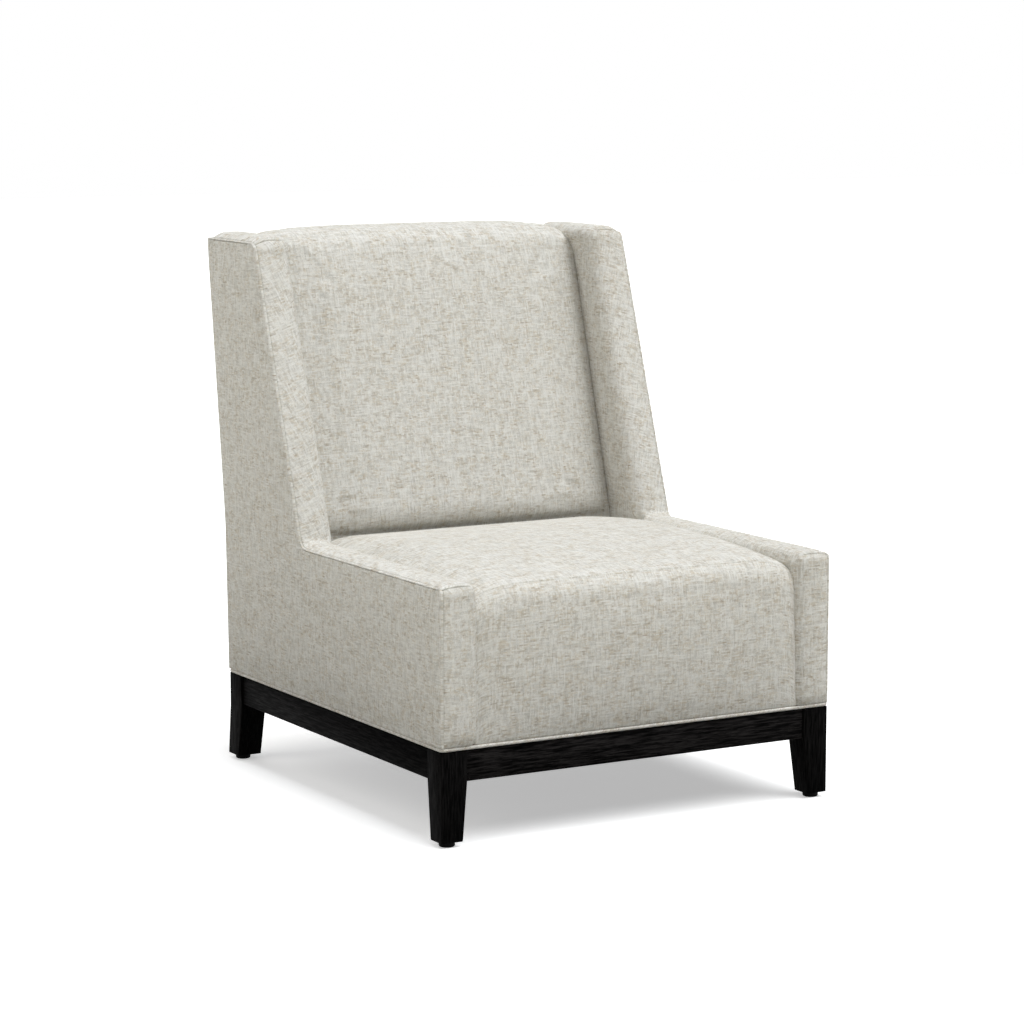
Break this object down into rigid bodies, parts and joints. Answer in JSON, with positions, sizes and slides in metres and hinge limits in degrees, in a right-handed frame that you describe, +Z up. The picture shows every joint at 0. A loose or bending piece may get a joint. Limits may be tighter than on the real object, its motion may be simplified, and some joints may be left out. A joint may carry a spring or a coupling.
{
  "type": "slipper chair",
  "caption": "Upholstered slipper chair with low arms, sloped wings, a crowned seat and back, and a welted body on a black wooden base with tapered front legs and swept rear legs.",
  "frame": {"origin": "on the floor, under the middle of the chair's bounding box", "axes": "+Z up, the front of the seat towards -Y, +X towards the sitter's left hand"},
  "size_m": [0.716, 0.817, 0.8957],
  "materials": {
    "linen_fabric": "heathered woven fabric in cream, light grey and tan, matte",
    "black_wood": "black stained open grain hardwood, satin",
    "hardwood": "plain sawn hardwood",
    "plywood": "birch plywood, unfinished",
    "fibreboard": "hardboard panel",
    "nylon": "black nylon glide",
    "zinc_steel": "zinc plated",
    "spring_steel": "oiled spring wire",
    "foam": null,
    "webbing": "elastic webbing",
    "felt": "pressed felt pad",
    "cambric": "black non-woven cambric"
  },
  "bodies": {
    "root": {"front_left_leg": "black_wood", "front_right_leg": "black_wood", "rear_left_leg": "black_wood", "rear_right_leg": "black_wood", "base_front_rail": "black_wood", "base_rear_rail": "black_wood", "base_left_rail": "black_wood", "base_right_rail": "black_wood", "front_left_corner_block": "hardwood", "front_right_corner_block": "hardwood", "rear_left_corner_block": "hardwood", "rear_right_corner_block": "hardwood", "seat_front_rail": "hardwood", "seat_rear_rail": "hardwood", "lower_back_rail": "hardwood", "top_back_rail": "hardwood", "front_left_glide": "nylon", "front_right_glide": "nylon", "rear_left_glide": "nylon", "rear_right_glide": "nylon", "front_left_base_bolt": "zinc_steel", "front_right_base_bolt": "zinc_steel", "rear_left_base_bolt": "zinc_steel", "rear_right_base_bolt": "zinc_steel", "front_spring_clip_1": "zinc_steel", "front_spring_clip_2": "zinc_steel", "front_spring_clip_3": "zinc_steel", "front_spring_clip_4": "zinc_steel", "rear_spring_clip_1": "zinc_steel", "rear_spring_clip_2": "zinc_steel", "rear_spring_clip_3": "zinc_steel", "rear_spring_clip_4": "zinc_steel", "seat_spring_1": "spring_steel", "seat_spring_2": "spring_steel", "seat_spring_3": "spring_steel", "seat_spring_4": "spring_steel", "left_side_frame": "plywood", "right_side_frame": "plywood", "left_side_pad": "foam", "right_side_pad": "foam", "seat_foam": "foam", "back_foam": "foam", "left_side_cover": "linen_fabric", "right_side_cover": "linen_fabric", "left_outside_cover": "linen_fabric", "right_outside_cover": "linen_fabric", "seat_cover": "linen_fabric", "back_cover": "linen_fabric", "outside_back_cover": "linen_fabric", "bottom_welt": "linen_fabric", "back_strap_1": "webbing", "back_strap_2": "webbing", "back_strap_3": "webbing", "back_strap_4": "webbing", "spring_insulator": "felt", "dust_cover": "cambric", "outside_back_board": "fibreboard"}
  },
  "joints": []
}
